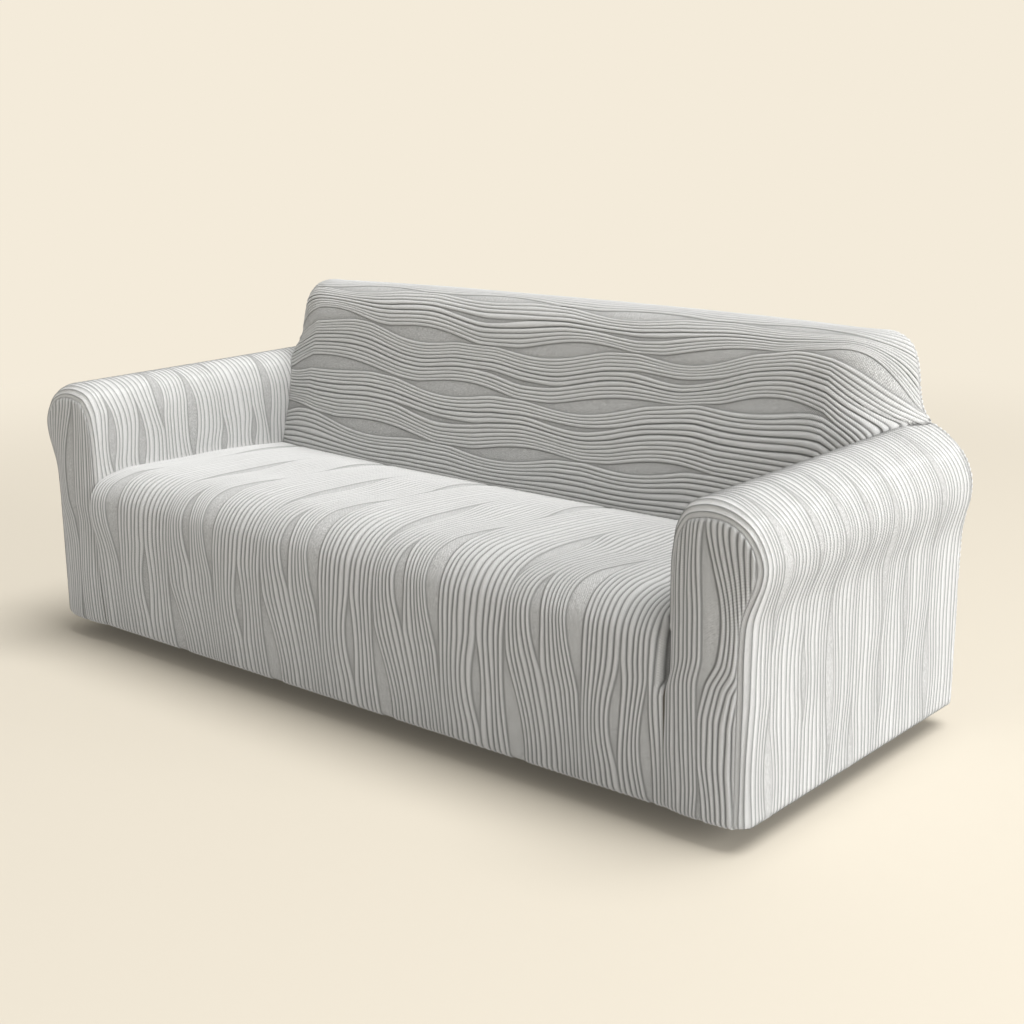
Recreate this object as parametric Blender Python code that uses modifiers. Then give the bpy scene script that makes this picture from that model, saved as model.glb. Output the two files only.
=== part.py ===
"""Fitted stretch slipcover for a three-seat sofa, empty, in the shape that the sofa gives it.

Heights are measured from the floor that the sofa stands on, depths from the front hem and widths from
the middle. Every object is then placed so that the origin is the middle of the sofa's back top, which
is what the cover hangs from.
"""

import math

import bmesh
import bpy
import numpy as np

COVER = "sofa_slipcover"

CLOTH = 0.0022  # thickness of the stretch cloth
SEAM_GAP = 0.0010  # between the edges of two sewn pieces
DEPTH = 0.867  # front hem to the flat of the outer back
HEM_TOP = 0.063  # height where the hem starts to turn under
HEM_BEND = 0.016  # radius of that turn
HEM_TURN = 0.010  # flat width beyond the turn
REAR_BEND = 0.030  # radius of the outer back's rounded rim
SEAT_HALF = 0.883  # half the width between the arms
CROWN_POWER = 3.0  # how late the seat and the back fall off to their sides
SHOULDER = 0.800  # where the back starts to round off to its ends
SLIT = (0.285, 0.310, 0.360, 0.392)  # heights where the slit beside the arm starts, is open and ends
SLIT_DEPTH = 0.030
SLIT_WIDTH = 0.028
FRONT_PUFF = 0.008  # how far an arm's front panel swells
MOUNT = (0.0, 0.790, 0.872)  # underside of the back's top, which the sofa's back holds up

# One arm's outline, from the seat over the top and down to the hem: its place across and its height at
# the front and at the rear, and the radius with which the cloth rounds over to the arm's front.
ARM_SECTION = [
    # front x, front z, rear x, rear z, bend
    (0.883, 0.430, 0.883, 0.430, 0.010),
    (0.883, 0.500, 0.883, 0.500, 0.010),
    (0.884, 0.560, 0.884, 0.560, 0.014),
    (0.890, 0.610, 0.889, 0.612, 0.022),
    (0.910, 0.648, 0.908, 0.655, 0.030),
    (0.950, 0.666, 0.945, 0.679, 0.034),
    (0.990, 0.668, 0.978, 0.674, 0.034),
    (1.025, 0.657, 1.008, 0.658, 0.030),
    (1.060, 0.632, 1.040, 0.632, 0.025),
    (1.083, 0.598, 1.062, 0.600, 0.022),
    (1.094, 0.560, 1.074, 0.562, 0.021),
    (1.090, 0.525, 1.074, 0.525, 0.021),
    (1.078, 0.490, 1.067, 0.490, 0.022),
    (1.067, 0.455, 1.060, 0.455, 0.024),
    (1.064, 0.400, 1.058, 0.400, 0.026),
    (1.065, 0.300, 1.058, 0.300, 0.028),
    (1.066, 0.180, 1.058, 0.180, 0.030),
    (1.066, 0.063, 1.058, 0.063, 0.030),
]

# How far back the arm's cloth runs before it meets the back, by the length round the arm's section.
ARM_REAR = [
    # length round the arm, y
    (0.000, 0.630),
    (0.070, 0.648),
    (0.130, 0.662),
    (0.185, 0.678),
    (0.225, 0.702),
    (0.262, 0.762),
    (0.290, DEPTH - REAR_BEND),
]

# The back's outline in the middle, from the seat up the inside and over the top to the rear seam.
BACK_PROFILE = [
    # y, z, hollow of the ends behind the middle
    (0.592, 0.428, 0.038),
    (0.611, 0.500, 0.036),
    (0.640, 0.600, 0.030),
    (0.668, 0.690, 0.022),
    (0.690, 0.765, 0.014),
    (0.705, 0.810, 0.010),
    (0.727, 0.846, 0.006),
    (0.760, 0.869, 0.003),
    (0.800, 0.876, 0.000),
    (DEPTH - REAR_BEND, 0.874, 0.000),
]
BACK_ON_ARM = 0.345  # length up the back whose cloth ends against the arm
CORNER_DROP = 0.009  # how far the back's top falls from its middle to its shoulders
CORNER_HEIGHTS = (0.70, 0.87)  # heights between which that fall sets in

# The rear seam beside and above the arm: up the stretched web, the back's side and its corner.
REAR_CORNER = [
    # x, z
    (0.974, 0.675),
    (0.955, 0.700),
    (0.945, 0.735),
    (0.940, 0.775),
    (0.934, 0.808),
    (0.918, 0.842),
    (0.893, 0.860),
    (0.862, 0.866),
]

# The seat and front in section, from the seat's rear over the front edge and down to the hem.
SEAT_PROFILE = [
    # middle y, middle z, side y, side z
    (0.592, 0.428, 0.630, 0.428),
    (0.500, 0.447, 0.520, 0.437),
    (0.400, 0.457, 0.410, 0.443),
    (0.250, 0.463, 0.255, 0.445),
    (0.130, 0.465, 0.135, 0.448),
    (0.070, 0.459, 0.075, 0.447),
    (0.022, 0.438, 0.025, 0.432),
    (-0.008, 0.400, -0.004, 0.398),
    (-0.018, 0.350, -0.012, 0.350),
    (-0.018, 0.270, -0.012, 0.270),
    (-0.010, 0.160, -0.007, 0.160),
    (0.000, 0.063, 0.000, 0.063),
]

FRONT_ROW = 8  # the row of the seat's profile that lies furthest forward

# Where the cloth's points lie. Pieces that meet use the same places along their seam.
FINE_STEPS = 120  # for reading a height off the seat's curve
MID_FRONT = 0.17  # a height on the arm's front between the hem and the slit
SEAT_ROWS = 22
ARM_COLUMNS = 9
FACE_COLUMNS = 11  # on the face of the back and on the seat, between the shoulders
HEM_STEPS = np.array([0.35, 0.7, 1.0])  # shares of the hem's length

GREY = (0.60, 0.61, 0.60)
UP = np.array([0.0, 0.0, 1.0])
BACKWARD = np.array([0.0, 1.0, 0.0])


def lengths(rows):
    """The distance along the rows' first two columns, from the first row to each."""
    steps = np.diff(np.asarray(rows, float)[:, :2], axis=0)
    return np.concatenate([[0.0], np.cumsum(np.hypot(steps[:, 0], steps[:, 1]))])


def along(rows, distance, knots=None):
    """The rows' columns at each distance, on a smooth curve through them."""
    rows = np.asarray(rows, float)
    knots = lengths(rows) if knots is None else knots
    slopes = np.gradient(rows, knots, axis=0)
    distance = np.clip(distance, 0, knots[-1])
    index = np.clip(np.searchsorted(knots, distance, side="right") - 1, 0, len(knots) - 2)
    span = knots[index + 1] - knots[index]
    share = ((distance - knots[index]) / span)[..., None]
    span = span[..., None]
    blend = share * share * (3 - 2 * share)
    left = rows[index] * (1 - blend) + slopes[index] * span * share * (1 - share) ** 2
    right = rows[index + 1] * blend - slopes[index + 1] * span * (1 - share) * share**2
    return np.moveaxis(left + right, -1, 0)


def ease(value, low, high):
    """0 below low, 1 above high and smooth between them."""
    share = np.clip((value - low) / (high - low), 0, 1)
    return share * share * (3 - 2 * share)


ARM_LENGTH = lengths(ARM_SECTION)[-1]
INNER_SHOULDER, OUTER_SHOULDER, NECK = 0.130, 0.435, 0.560  # lengths round the arm where its curve changes
ARM_ON_BACK = ARM_REAR[-1][0]
BACK_LENGTH = lengths(BACK_PROFILE)[-1]
SEAT_LENGTH = lengths(SEAT_PROFILE)[-1]
CORNER_LENGTH = lengths(REAR_CORNER)[-1]
HEM_LENGTH = HEM_BEND * math.pi / 2 + HEM_TURN

# Stations round the arm: up the inside, over the arch, past the neck and down the outer side.
ARM_STATIONS = np.concatenate(
    [
        np.linspace(0, INNER_SHOULDER, 4, endpoint=False),
        np.linspace(INNER_SHOULDER, ARM_ON_BACK, 8, endpoint=False),
        np.linspace(ARM_ON_BACK, OUTER_SHOULDER, 5, endpoint=False),
        np.linspace(OUTER_SHOULDER, NECK, 4, endpoint=False),
        np.linspace(NECK, ARM_LENGTH, 7),
    ]
)
BESIDE_BACK = ARM_STATIONS[ARM_STATIONS < ARM_ON_BACK - 1e-6]
BACK_TOP = BACK_LENGTH - np.array([0.150, 0.115, 0.080, 0.050, 0.024, 0.0006, 0.0])
BACK_STATIONS = np.concatenate(
    [BESIDE_BACK * BACK_ON_ARM / ARM_ON_BACK, [BACK_ON_ARM, BACK_ON_ARM + 0.025], BACK_TOP]
)
TURNS = np.array([1.0, 1.3, 1.6, 1.93, 2.0])  # round each end of the back
ACROSS = np.concatenate([-TURNS[::-1], np.linspace(-1, 1, FACE_COLUMNS)[1:-1], TURNS])


def hem_shift(distance):
    """How far in and how far down the hem has gone, at a distance along it."""
    angle = np.clip(distance / HEM_BEND, 0, math.pi / 2)
    inward = HEM_BEND * (1 - np.cos(angle)) + np.maximum(distance - HEM_BEND * math.pi / 2, 0)
    return inward, HEM_BEND * np.sin(angle)


def slit_at(height):
    """1 where the slit beside the arm's front is open, and 0 above and below it."""
    return ease(height, SLIT[0], SLIT[1]) * (1 - ease(height, SLIT[2], SLIT[3]))


def seat_side(y):
    """Height of the seat's side edge at a depth, down its rounded front."""
    side = along(SEAT_PROFILE, np.linspace(0, lengths(SEAT_PROFILE)[FRONT_ROW], FINE_STEPS))
    return np.interp(y, side[2][::-1], side[3][::-1])


def rear_limit(distance):
    """Depth at which the arm's cloth ends, by the distance round the arm."""
    knots = np.array([row[0] for row in ARM_REAR])
    return along([(row[1], 0) for row in ARM_REAR], distance, knots)[0]


def arm_section(distance, y):
    """Place across and height on the arm, by the distance round it and the depth."""
    front_x, front_z, rear_x, rear_z, bend = along(ARM_SECTION, distance)
    share = np.clip(y / DEPTH, 0, 1)
    x = front_x + (rear_x - front_x) * share
    z = front_z + (rear_z - front_z) * share
    floor = seat_side(y)
    start, full = ARM_SECTION[0][1], ARM_SECTION[1][1]
    low = floor + (z - start) / (full - start) * (full - floor)
    return x, np.where(distance < lengths(ARM_SECTION)[1], low, z)


def arm_normal(distance):
    """Across and upward parts of the way out from the arm's section."""
    step = 0.002
    distance = np.clip(distance, step, ARM_LENGTH - step)
    ahead = along(ARM_SECTION, distance + step)
    behind = along(ARM_SECTION, distance - step)
    run = np.hypot(ahead[0] - behind[0], ahead[1] - behind[1])
    return -(ahead[1] - behind[1]) / run, (ahead[0] - behind[0]) / run


def arm_cloth(distance, run):
    """The right arm's cloth. Run goes from 0 at the front seam, by 1 past the bend, to 2 at the rear."""
    bend = along(ARM_SECTION, distance)[4]
    angle = np.clip(run, 0, 1) * math.pi / 2
    y = bend * (1 - np.cos(angle)) + np.clip(run - 1, 0, 1) * (rear_limit(distance) - bend)
    x, z = arm_section(distance, y)
    out_x, out_z = arm_normal(distance)
    inset = bend * (1 - np.sin(angle))
    x, z = x - out_x * inset, z - out_z * inset
    inward, drop = hem_shift(distance - ARM_LENGTH)
    x = x - inward * np.sin(angle)
    y = y + inward * np.cos(angle)
    return np.stack([x, y, z - drop], axis=-1)


def back_end(distance):
    """Where the back's cloth ends on the right, by the distance up its middle."""
    on_arm = np.clip(distance / BACK_ON_ARM, 0, 1) * ARM_ON_BACK
    arm_y = rear_limit(on_arm)
    arm_x, arm_z = arm_section(on_arm, arm_y)
    share = (distance - BACK_ON_ARM) / (BACK_LENGTH - BACK_ON_ARM)
    corner_x, corner_z = along(REAR_CORNER, share * CORNER_LENGTH)
    above = distance > BACK_ON_ARM
    x = np.where(above, corner_x, arm_x)
    y = np.where(above, DEPTH - REAR_BEND, arm_y)
    return x, y, np.where(above, corner_z, arm_z)


def width(across, end):
    """Distance from the middle. Across is within 1 on the face and goes on to 2 at the end."""
    face = np.clip(np.abs(across), 0, 1)
    turn = np.clip(np.abs(across) - 1, 0, 1) * math.pi / 2
    return SHOULDER * face + (end - SHOULDER) * np.sin(turn), 1 - np.cos(turn)


def back_cloth(distance, across):
    """The back's cloth, by the distance up its middle and the place across."""
    mid_y, mid_z, hollow = along(BACK_PROFILE, distance)
    end_x, end_y, end_z = back_end(distance)
    x, turned = width(across, end_x)
    face_y = mid_y + hollow * (x / SEAT_HALF) ** CROWN_POWER
    end_face_y = mid_y + hollow * (end_x / SEAT_HALF) ** CROWN_POWER
    y = face_y + (end_y - end_face_y) * turned
    drop = CORNER_DROP * ease(mid_z, *CORNER_HEIGHTS) * np.clip(np.abs(across), 0, 1) ** CROWN_POWER
    z = mid_z - drop + (end_z - mid_z + drop) * turned
    return np.stack([np.sign(across) * x, y, z], axis=-1)


def seat_cloth(distance, across):
    """The seat's and front's cloth, by the distance from the back and the place across."""
    mid_y, mid_z, side_y, side_z = along(SEAT_PROFILE, distance)
    x, _ = width(across, SEAT_HALF)
    share = (x / SEAT_HALF) ** CROWN_POWER
    y = mid_y + (side_y - mid_y) * share
    z = mid_z + (side_z - mid_z) * share
    near_side = 1 - ease(SEAT_HALF - x, 0, SLIT_WIDTH)
    y = y + SLIT_DEPTH * slit_at(z) * near_side * (distance > SEAT_LENGTH / 2)
    inward, drop = hem_shift(distance - SEAT_LENGTH)
    return np.stack([np.sign(across) * x, y + inward, z - drop], axis=-1)


def pulled_back(points):
    """The grid with its border drawn in along the cloth, to leave half the gap of a seam."""
    points = points.copy()
    for edge, inner in ((0, 1), (-1, -2)):
        step = points[inner] - points[edge]
        points[edge] += step / np.linalg.norm(step, axis=-1, keepdims=True) * SEAM_GAP / 2
        step = points[:, inner] - points[:, edge]
        points[:, edge] += step / np.linalg.norm(step, axis=-1, keepdims=True) * SEAM_GAP / 2
    return points


def spanned(edges, across, up):
    """A grid of points stretched between a bottom, a top, a left and a right edge."""
    bottom, top, left, right = edges
    across = across[None, :, None]
    up = up[:, None, None]
    sides = left[:, None] * (1 - across) + right[:, None] * across
    ends = bottom[None] * (1 - up) + top[None] * up
    low = bottom[0] * (1 - across) + bottom[-1] * across
    high = top[0] * (1 - across) + top[-1] * across
    return sides + ends - low * (1 - up) - high * up


def distance_to(path, points):
    """The distance of each point from a path of straight pieces."""
    start, step = path[:-1], np.diff(path, axis=0)
    offset = points[..., None, :] - start
    share = np.clip((offset * step).sum(-1) / (step * step).sum(-1), 0, 1)
    return np.linalg.norm(offset - share[..., None] * step, axis=-1).min(-1)


def with_hem(grid, toward):
    """The grid with the hem's rows added under its lowest row, turned in the given direction."""
    inward, drop = hem_shift(HEM_LENGTH * HEM_STEPS[::-1])
    shift = inward[:, None, None] * toward - drop[:, None, None] * UP
    return np.concatenate([grid[:1] + shift, grid])


def arm_front_points():
    """The panel on the right arm's front, inside the seam where the arm's cloth rounds over."""
    seam = arm_cloth(ARM_STATIONS, np.zeros_like(ARM_STATIONS))
    inner = int(np.searchsorted(ARM_STATIONS, INNER_SHOULDER - 1e-6))
    outer = int(np.searchsorted(ARM_STATIONS, OUTER_SHOULDER - 1e-6))
    heights = np.array([HEM_TOP, MID_FRONT, *SLIT])
    front = along(SEAT_PROFILE, np.linspace(SEAT_LENGTH / 2, SEAT_LENGTH, FINE_STEPS))
    side_y = np.interp(heights, front[3][::-1], front[2][::-1])
    side_x = SEAT_HALF + (seam[0, 0] - SEAT_HALF) * ease(heights, *SLIT[2:])
    beside_seat = np.stack([side_x, side_y, heights], axis=-1)
    left = np.concatenate([beside_seat, seam[: inner + 1]])
    right = seam[outer:][::-1]
    arch = seam[inner : outer + 1]
    across = np.linspace(0, 1, len(arch))
    up = np.linspace(0, 1, len(left))
    bottom = left[0] + across[:, None] * (right[0] - left[0])
    grid = spanned((bottom, arch, left, right), across, up)
    grid[..., 1] -= FRONT_PUFF * 4 * across * (1 - across) * (1 - up[:, None] ** 6)
    return with_hem(grid, BACKWARD)


def outer_back_points():
    """The outer back: flat, with a rounded rim that reaches forward to the rear seam."""
    beside_arm = ARM_STATIONS[ARM_STATIONS > ARM_ON_BACK - 1e-6][::-1]
    arm = np.stack(arm_section(beside_arm, DEPTH - REAR_BEND), axis=-1)
    above = BACK_STATIONS[BACK_STATIONS > BACK_ON_ARM + 1e-6]
    right = np.concatenate([arm, np.stack(back_end(above), axis=-1)[:, ::2]])
    left = right * (-1, 1)
    top = back_cloth(np.full(len(ACROSS), BACK_LENGTH), ACROSS)[:, ::2]
    across = (top[:, 0] / top[-1, 0] + 1) / 2
    climb = lengths(right)
    up = climb / climb[-1]
    bottom = left[0] + across[:, None] * (right[0] - left[0])
    flat = spanned((bottom, top, left, right), across, up)
    outline = np.concatenate([left, top[1:-1], right[::-1]])
    inset = np.clip(REAR_BEND - distance_to(outline, flat), 0, REAR_BEND)
    y = DEPTH - REAR_BEND + np.sqrt(REAR_BEND**2 - inset**2)
    grid = np.stack([flat[..., 0], y, flat[..., 1]], axis=-1)
    side = -np.sign(grid[0, :, 0]) * inset[0] / REAR_BEND
    return with_hem(grid, np.stack([side, -np.sqrt(1 - side**2), 0 * side], axis=-1))


def mirrored(points):
    """The same grid on the other side, with its columns reversed so that it still faces out."""
    return points[:, ::-1] * (-1, 1, 1)


def mesh_grid(name, points):
    """A mesh of one face for each cell of a grid of points."""
    rows, columns = points.shape[:2]
    sheet = bmesh.new()
    bmesh.ops.create_grid(sheet, x_segments=columns - 1, y_segments=rows - 1, size=1)
    for vertex, point in zip(sheet.verts, points.reshape(-1, 3)):
        vertex.co = point
    mesh = bpy.data.meshes.new(name)
    sheet.to_mesh(mesh)
    sheet.free()
    return mesh


def cloth_panel(name, points, material, collection):
    """A sheet of cloth on a grid of points that faces out, thickened to its inside."""
    panel = bpy.data.objects.new(name, mesh_grid(name, pulled_back(points)))
    panel.location = -np.array(MOUNT)
    panel.data.materials.append(material)
    collection.objects.link(panel)
    shell = panel.modifiers.new("cloth thickness", "SOLIDIFY")
    shell.thickness = CLOTH
    shell.offset = -1
    shell.use_even_offset = True
    return panel


def stretch_cloth():
    material = bpy.data.materials.new("ribbed stretch cloth")
    material.use_nodes = True
    shader = material.node_tree.nodes["Principled BSDF"]
    shader.inputs["Base Color"].default_value = (*GREY, 1)
    shader.inputs["Roughness"].default_value = 0.9
    shader.inputs["Metallic"].default_value = 0.0
    return material


def arm_points():
    """The right arm's cloth, with its columns from the front seam to the rear."""
    rows = np.concatenate([ARM_STATIONS, ARM_LENGTH + HEM_LENGTH * HEM_STEPS])
    runs = np.concatenate([[0, 0.07, 0.5], np.linspace(1, 2, ARM_COLUMNS)])
    return arm_cloth(*np.meshgrid(rows, runs, indexing="ij"))


def back_points():
    """The back's cloth, with its columns from the left end to the right."""
    return back_cloth(*np.meshgrid(BACK_STATIONS, ACROSS, indexing="ij"))


def seat_points():
    """The seat's and front's cloth, with its columns from the left side to the right."""
    rows = np.concatenate([np.linspace(0, SEAT_LENGTH, SEAT_ROWS), SEAT_LENGTH + HEM_LENGTH * HEM_STEPS])
    return seat_cloth(*np.meshgrid(rows, ACROSS, indexing="ij"))


def main():
    for old in list(bpy.data.objects):
        bpy.data.objects.remove(old)
    collection = bpy.data.collections.new(COVER)
    bpy.context.scene.collection.children.link(collection)
    cloth = stretch_cloth()
    arm, arm_front = arm_points(), arm_front_points()
    cloth_panel("back_panel", back_points(), cloth, collection)
    cloth_panel("seat_front_panel", seat_points()[:, ::-1], cloth, collection)
    cloth_panel("arm_panel_right", arm[:, ::-1], cloth, collection)
    cloth_panel("arm_panel_left", mirrored(arm)[:, ::-1], cloth, collection)
    cloth_panel("arm_front_right", arm_front, cloth, collection)
    cloth_panel("arm_front_left", mirrored(arm_front), cloth, collection)
    cloth_panel("outer_back_panel", outer_back_points()[:, ::-1], cloth, collection)


main()
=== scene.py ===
# %% [markdown]
# # A ribbed stretch cover for a three-seat sofa
# The cover is knitted stretch cloth, cut into seven pieces and pulled over a sofa until it fits like a skin.
# Its raised ribs swing in long waves and part here and there round bare leaf-shaped flats.
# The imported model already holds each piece's smooth shape, so the lesson starts from that frame and adds
# what makes the cloth: its ribs, its flats, its gathers and its finish.

# %% Load the frame
import math

import bmesh
import bpy
import numpy as np
from mathutils import Matrix, Vector


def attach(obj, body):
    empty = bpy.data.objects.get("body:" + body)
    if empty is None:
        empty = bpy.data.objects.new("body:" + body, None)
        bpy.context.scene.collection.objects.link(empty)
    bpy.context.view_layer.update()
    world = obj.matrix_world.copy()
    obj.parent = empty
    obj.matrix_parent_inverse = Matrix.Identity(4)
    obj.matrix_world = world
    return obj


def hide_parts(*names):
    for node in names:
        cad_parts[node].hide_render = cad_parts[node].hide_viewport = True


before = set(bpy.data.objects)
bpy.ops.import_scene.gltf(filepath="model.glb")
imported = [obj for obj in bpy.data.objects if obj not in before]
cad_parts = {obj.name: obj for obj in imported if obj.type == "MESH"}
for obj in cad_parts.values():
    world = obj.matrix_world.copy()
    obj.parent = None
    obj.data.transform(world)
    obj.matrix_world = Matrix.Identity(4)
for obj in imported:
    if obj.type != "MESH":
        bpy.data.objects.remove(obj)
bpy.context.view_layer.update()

# %% [markdown]
# ## The camera
# A long-ish lens from well back keeps the sofa's straight lines calm. The camera stands off the right arm, a
# little above the back, and looks down across the seat. Its turn is built from three plain rotations: round
# the room's upright, then tipped down, then a hair of roll about its own line of sight.

# %% Place the camera
STAND = (2.539, -3.146, 0.492)
TURN, TIP, ROLL = math.radians(40.79), math.radians(14.29), math.radians(-0.56)
SENSOR, LENS = 36, 57.3  # millimetres

camera = bpy.data.objects.new("studio_camera", bpy.data.cameras.new("studio_camera"))
bpy.context.scene.collection.objects.link(camera)
camera.data.sensor_width = SENSOR
camera.data.lens = LENS
camera.matrix_world = (
    Matrix.Translation(STAND)
    @ Matrix.Rotation(TURN, 4, "Z")
    @ Matrix.Rotation(math.pi / 2 - TIP, 4, "X")
    @ Matrix.Rotation(ROLL, 4, "Z")
)
bpy.context.scene.camera = camera
print("camera at", STAND)

# %% [markdown]
# ## Shader maths as plain sums
# A finish is built from many small nodes. One class wraps a node's output, so that a line such as
# `1 - rib * 0.4` writes its own Math nodes. Every other node comes from its one method, which takes the
# node's type, its settings and what goes into its sockets.

# %% A class for shader values
class Value:
    """An output in a node tree. Sums, differences and products of values add Math nodes."""

    def __init__(self, tree, socket=None):
        self.tree, self.socket = tree, socket

    def node(self, kind, settings=None, inputs=None, output=0):
        made = self.tree.nodes.new(kind)
        for name, setting in (settings or {}).items():
            setattr(made, name, setting)
        for place, given in (inputs or {}).items():
            if isinstance(given, Value):
                self.tree.links.new(given.socket, made.inputs[place])
            else:
                made.inputs[place].default_value = given
        return Value(self.tree, made.outputs[output] if made.outputs else None)

    def maths(self, operation, first, second):
        return self.node("ShaderNodeMath", {"operation": operation}, {0: first, 1: second})

    def __add__(self, other):
        return self.maths("ADD", self, other)

    def __sub__(self, other):
        return self.maths("SUBTRACT", self, other)

    def __rsub__(self, other):
        return self.maths("SUBTRACT", other, self)

    def __mul__(self, other):
        return self.maths("MULTIPLY", self, other)

    __radd__ = __add__
    __rmul__ = __mul__

    def mixed(self, dark, light):
        """A colour between two others, by this value."""
        return self.node("ShaderNodeMix", {"data_type": "RGBA"}, {0: self, 6: dark, 7: light}, output=2)


print("shader helper ready")

# %% [markdown]
# ## Backdrop and light
# Cloth with low ribs needs light that rakes across it, and soft light, or every rib would throw a hard line.
# A sun as wide as a studio's ceiling does most of it, from overhead and behind. A large lamp low on the right
# rakes the arm and fades leftward. They leave the front in the shade, which only the pale floor lifts. The
# camera sees a cream backdrop, while the cloth is lit by a dim grey one.

# %% Backdrop and surround
CREAM = (0.905, 0.831, 0.701, 1)
SURROUND = (0.41, 0.403, 0.386, 1)

scene = bpy.context.scene
scene.view_settings.view_transform = "Standard"
world = bpy.data.worlds.new("cream backdrop")
scene.world = world
world.use_nodes = True
world.node_tree.nodes.clear()
sky = Value(world.node_tree)
seen = sky.node("ShaderNodeLightPath")
glow = sky.node("ShaderNodeBackground", inputs={0: seen.mixed(SURROUND, CREAM)})
sky.node("ShaderNodeOutputWorld", inputs={0: glow})
print("backdrop colour", CREAM[:3])

# %% Two broad lights
ABOVE = Vector((0.28, 0.18, 0.94))  # the way to the sun
SUN_STRENGTH, SUN_SPREAD = 3.05, math.radians(40)
LAMP_AT, LAMP_AIM = Vector((6.2, -0.2, 1.0)), Vector((0.0, -0.35, -0.4))
LAMP_WIDTH, LAMP_POWER = 3.6, 250.0

overhead = bpy.data.lights.new("overhead", "SUN")
overhead.energy = SUN_STRENGTH
overhead.angle = SUN_SPREAD
lamp = bpy.data.lights.new("right lamp", "AREA")
lamp.shape = "DISK"
lamp.size = LAMP_WIDTH
lamp.energy = LAMP_POWER
for data, place, source in ((overhead, (0, 0, 5), ABOVE), (lamp, LAMP_AT, LAMP_AT - LAMP_AIM)):
    light = bpy.data.objects.new(data.name, data)
    scene.collection.objects.link(light)
    light.location = place
    light.rotation_mode = "QUATERNION"
    light.rotation_quaternion = source.to_track_quat("Z", "Y")
    print(data.name, "shines from", [round(c, 2) for c in source.normalized()])

# %% [markdown]
# ## The floor
# A painted studio floor that runs on into the backdrop shows no horizon. A curved sweep would do it too, but
# its bend takes shadows of its own. So the floor is one flat sheet: matt cream near the sofa, where it takes
# the shadow, and further off it glows in the backdrop's own cream. Light that bounces from it is nearly
# white, or it would stain the grey cloth.

# %% Floor
FLOOR = -0.872  # below the mount on top of the back
FLOOR_HALF = 40.0
floor_mesh = bpy.data.meshes.new("floor")
sheet = bmesh.new()
bmesh.ops.create_grid(sheet, x_segments=1, y_segments=1, size=FLOOR_HALF)
bmesh.ops.translate(sheet, verts=sheet.verts, vec=(0, 0, FLOOR))
sheet.to_mesh(floor_mesh)
sheet.free()
floor = bpy.data.objects.new("floor", floor_mesh)
scene.collection.objects.link(floor)

LIT = 1.55  # light on the floor that the paint's colour allows for
OWN_GLOW = 0.06  # share of the floor's colour that even the deepest shadow keeps
PAINT = tuple(c / LIT for c in CREAM[:3]) + (1,)
BOUNCE = (0.68, 0.67, 0.65, 1)
NEAR, FAR = 2.6, 4.8  # distances between which the paint gives way to the glow
paint = bpy.data.materials.new("matt cream floor")
paint.use_nodes = True
paint.node_tree.nodes.clear()
ground = Value(paint.node_tree)
seen = ground.node("ShaderNodeLightPath")
place = ground.node("ShaderNodeTexCoord", output="Object")
away = ground.node("ShaderNodeVectorMath", {"operation": "LENGTH"}, {0: place}, output="Value")
smooth = {"interpolation_type": "SMOOTHSTEP"}
far = ground.node("ShaderNodeMapRange", smooth, {0: away, 1: NEAR, 2: FAR, 3: OWN_GLOW, 4: 1.0})
matt = ground.node("ShaderNodeBsdfDiffuse", inputs={0: seen.mixed(BOUNCE, PAINT)})
shine = ground.node("ShaderNodeEmission", inputs={0: CREAM})
surface = ground.node("ShaderNodeMixShader", inputs={0: far, 1: matt, 2: shine})
ground.node("ShaderNodeOutputMaterial", inputs={0: surface})
floor.data.materials.append(paint)
print("floor", 2 * FLOOR_HALF, "m across")

# %% [markdown]
# ## The sofa under the cloth
# Every piece of the cover follows the sofa, so its shape comes first, as short tables of profiles. These are
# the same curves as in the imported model. Heights are from the floor, depths from the front hem and widths
# from the middle. One smooth curve is run through each table's rows.

# %% Profiles of the sofa
MOUNT = np.array([0.0, 0.790, 0.872])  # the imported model's origin, in these tables' measures
DEPTH = 0.867  # from the front hem to the rear
HEM_TOP, HEM_BEND, HEM_TURN = 0.063, 0.016, 0.010  # its height, the radius of its bend, the flat turned in
REAR_BEND = 0.030  # radius of the outer back's rim
SEAT_HALF, SHOULDER = 0.883, 0.800  # half the seat's width, half the width of the back's face
CROWN_POWER = 3.0  # how late a crown falls away towards its sides
FRONT_PUFF = 0.008  # how far the arm's front swells forward
BACK_ON_ARM = 0.345  # distance up the back at which its end leaves the arm
CORNER_DROP, CORNER_HEIGHTS = 0.009, (0.70, 0.87)  # how far the top corners droop, and over which heights

ARM_SECTION = [  # front x, front z, rear x, rear z, bend
    (0.883, 0.430, 0.883, 0.430, 0.010),
    (0.883, 0.500, 0.883, 0.500, 0.010),
    (0.884, 0.560, 0.884, 0.560, 0.014),
    (0.890, 0.610, 0.889, 0.612, 0.022),
    (0.910, 0.648, 0.908, 0.655, 0.030),
    (0.950, 0.666, 0.945, 0.679, 0.034),
    (0.990, 0.668, 0.978, 0.674, 0.034),
    (1.025, 0.657, 1.008, 0.658, 0.030),
    (1.060, 0.632, 1.040, 0.632, 0.025),
    (1.083, 0.598, 1.062, 0.600, 0.022),
    (1.094, 0.560, 1.074, 0.562, 0.021),
    (1.090, 0.525, 1.074, 0.525, 0.021),
    (1.078, 0.490, 1.067, 0.490, 0.022),
    (1.067, 0.455, 1.060, 0.455, 0.024),
    (1.064, 0.400, 1.058, 0.400, 0.026),
    (1.065, 0.300, 1.058, 0.300, 0.028),
    (1.066, 0.180, 1.058, 0.180, 0.030),
    (1.066, 0.063, 1.058, 0.063, 0.030),
]
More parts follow.
